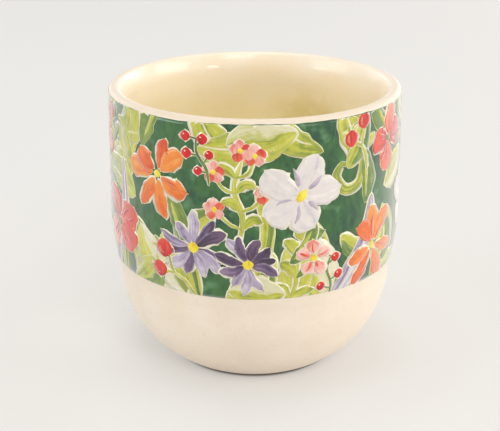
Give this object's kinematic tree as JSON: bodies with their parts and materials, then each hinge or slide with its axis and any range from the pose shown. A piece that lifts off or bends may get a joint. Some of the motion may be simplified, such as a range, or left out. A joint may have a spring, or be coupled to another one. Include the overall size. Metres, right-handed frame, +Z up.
{
  "type": "tumbler",
  "caption": "Round-based hand-thrown ceramic tumbler without a handle, bare cream bowl below and a painted floral band up to the lip.",
  "frame": {"origin": "centre of the foot ring, on the surface that the tumbler stands on", "axes": "+Z up along the tumbler's axis, -Y towards the side that the picture shows, +X to its right"},
  "size_m": [0.0912, 0.0912, 0.088],
  "materials": {
    "glazed_ceramic": "satin glaze"
  },
  "bodies": {
    "root": {"tumbler": "glazed_ceramic"}
  },
  "joints": []
}
